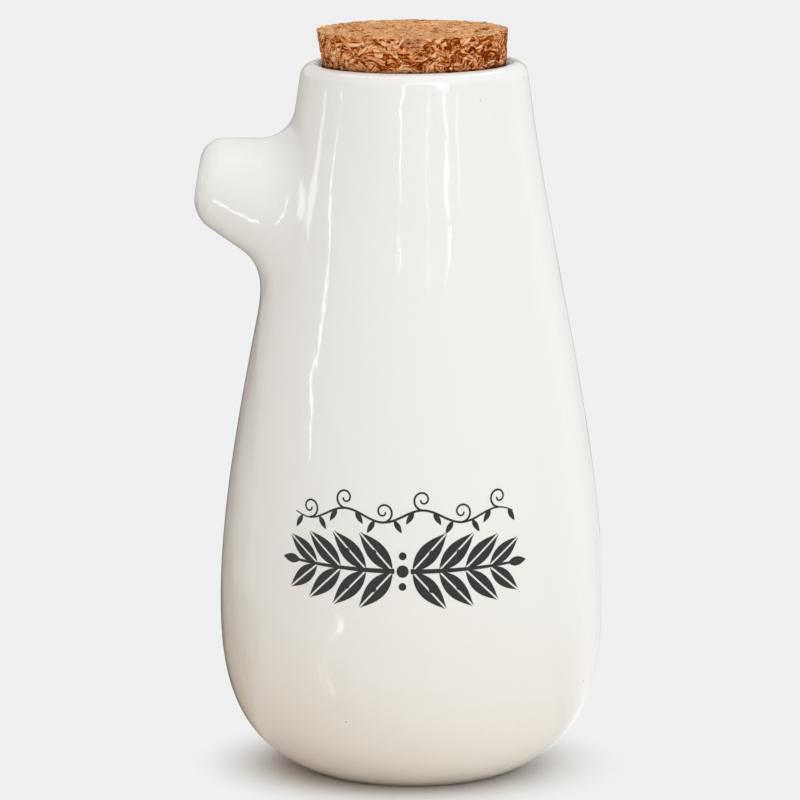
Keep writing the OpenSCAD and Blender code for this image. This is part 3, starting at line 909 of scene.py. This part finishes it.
def paleFloor():
    # Matt backdrop card. Seen straight it shows the backdrop's own colour away from the object,
    # and it throws a warm light up at it, as a wooden table does.
    material, add = newMaterial("backdropCard")
    place = add("TexCoord").outputs["Object"]
    xyz = add("SeparateXYZ", links={0: place})
    away = add("VectorMath", {"operation": "LENGTH"}, {0: place})
    straight = straightRays(add)
    fade = add("MapRange", {"interpolation_type": "SMOOTHSTEP", "From Min": 0.030,
                            "From Max": 0.056}, {"Value": away})
    seen = add("Math", {"operation": "MULTIPLY"}, {0: fade, 1: straight})
    beyond = add("MapRange", {"From Min": 0.07, "From Max": 0.13}, {"Value": away})
    neutral = add("Math", {"operation": "MAXIMUM"}, {0: beyond, 1: straight})
    left = add("MapRange", {"From Min": 0.01, "From Max": -0.08}, {"Value": xyz.outputs[0]})
    bounce = add("Mix", {"data_type": "RGBA", 6: studio["floorBounce"], 7: studio["floorLeft"]},
                 {0: left})
    tone = add("Mix", {"data_type": "RGBA", 7: studio["floorColour"]}, {0: neutral, 6: bounce})
    card = add("BsdfDiffuse", links={"Color": tone})
    clear = add("MapRange", {"From Min": 0.03, "From Max": 0.06, "To Max": studio["floorLift"]},
                {"Value": away})
    scattered = add("Math", {"operation": "SUBTRACT", 0: 1.0}, {1: straight})
    lift = add("Math", {"operation": "MULTIPLY"}, {0: clear, 1: scattered})
    lifted = add("Emission", links={"Color": bounce, "Strength": lift})
    lit = add("AddShader", links={0: card, 1: lifted})
    glow = add("Emission", {"Color": studio["backdrop"]})
    both = add("MixShader", links={0: seen, 1: lit, 2: glow})
    add("OutputMaterial", links={0: both})
    return material


def aroundPoint(turn, distance, height):
    # a place round the bottle, its turn in degrees from the front, positive to the right
    a = math.radians(turn)
    return Vector((distance * sin(a), -distance * cos(a), height))


def addLamp(name, place, size, watts, up=(0, 0, 1), aim=(0, 0, 0.12), mirrorOnly=True):
    place = Vector(place)
    light = bpy.data.lights.new(name, "AREA")
    light.shape = "RECTANGLE"
    light.size, light.size_y = size
    light.energy = watts
    lamp = bpy.data.objects.new(name, light)
    bpy.context.scene.collection.objects.link(lamp)
    lamp.visible_camera = False
    lamp.visible_diffuse = not mirrorOnly
    back = (place - Vector(aim)).normalized()
    across = Vector(up).cross(back).normalized()
    turn = Matrix((across, back.cross(across), back)).transposed().to_4x4()
    lamp.matrix_world = Matrix.Translation(place) @ turn
    return lamp


def addStrip(name, low, high, width, glow, **aim):
    length = (high - low).length
    addLamp(name, (low + high) / 2, (width, length), glow * math.pi * width * length, high - low,
            **aim)


def addCard(name, start, stop, line, back, glow, tones):
    steps = studio["cardSteps"]
    points = [aroundPoint(turn, distance, height) + Vector((0, back, 0))
              for distance, height in line for turn in np.linspace(start, stop, steps)]
    faces = [(k + i, k + i + 1, k + steps + i + 1, k + steps + i)
             for k in range(0, (len(line) - 1) * steps, steps) for i in range(steps - 1)]
    material, add = newMaterial(name)
    share = add("Attribute", {"attribute_name": "share"})
    tone = add("ValToRGB", links={0: share.outputs["Fac"]}, stops=tones)
    shine = add("Emission", {"Strength": glow}, {"Color": tone})
    add("OutputMaterial", links={0: shine})
    card = meshPiece(name, points, faces, material, None)
    values = card.data.attributes.new("share", "FLOAT", "POINT")
    values.data.foreach_set("value", list(np.linspace(0, 1, steps)) * len(line))
    card.visible_camera = card.visible_diffuse = card.visible_shadow = False


def makeSetting():
    floor = meshPiece("floorCard", [(-4, -4, 0), (4, -4, 0), (4, 4, 0), (-4, 4, 0)], [(0, 1, 2, 3)],
                      paleFloor(), None)
    world = bpy.data.worlds.new("studioAir")
    bpy.context.scene.world = world
    world.use_nodes = True
    world.node_tree.nodes.clear()
    add = partial(addNode, world.node_tree)
    towards = add("TexCoord").outputs["Generated"]
    side = add("VectorMath", {"operation": "DOT_PRODUCT", 1: studio["brightSide"]}, {0: towards})
    share = add("MapRange", {"From Min": -1.0}, {"Value": side})
    tint = add("ValToRGB", links={0: share}, stops=studio["air"])
    air = add("Background", {"Strength": studio["worldLight"]}, {"Color": tint})
    backdrop = add("Background", {"Color": studio["backdrop"]})
    both = add("MixShader", links={0: straightRays(add), 1: air, 2: backdrop})
    add("OutputWorld", links={0: both})
    addLamp("topBank", *studio["bank"], mirrorOnly=False)
    addLamp("softFill", *studio["fill"], mirrorOnly=False).visible_glossy = False
    for name, low, high, width, glow in studio["strips"]:
        addStrip(name, aroundPoint(*low), aroundPoint(*high), width, glow)
    for name, near, far, width, glow in studio["floorStrips"]:
        low, high = aroundPoint(*near, 0.001), aroundPoint(*far, 0.001)
        addStrip(name, low, high, width, glow, aim=(low + high) / 2 + Vector((0, 0, 1)))
    for card in studio["cards"]:
        addCard(*card)
    print("setting:", len(bpy.data.lights), "lamps,", len(studio["cards"]), "cards")


makeCamera()
makeSetting()
makeBottle()
makePrint()
makeStopper()

bpy.context.scene.view_settings.view_transform = "Standard"
print("scene built")
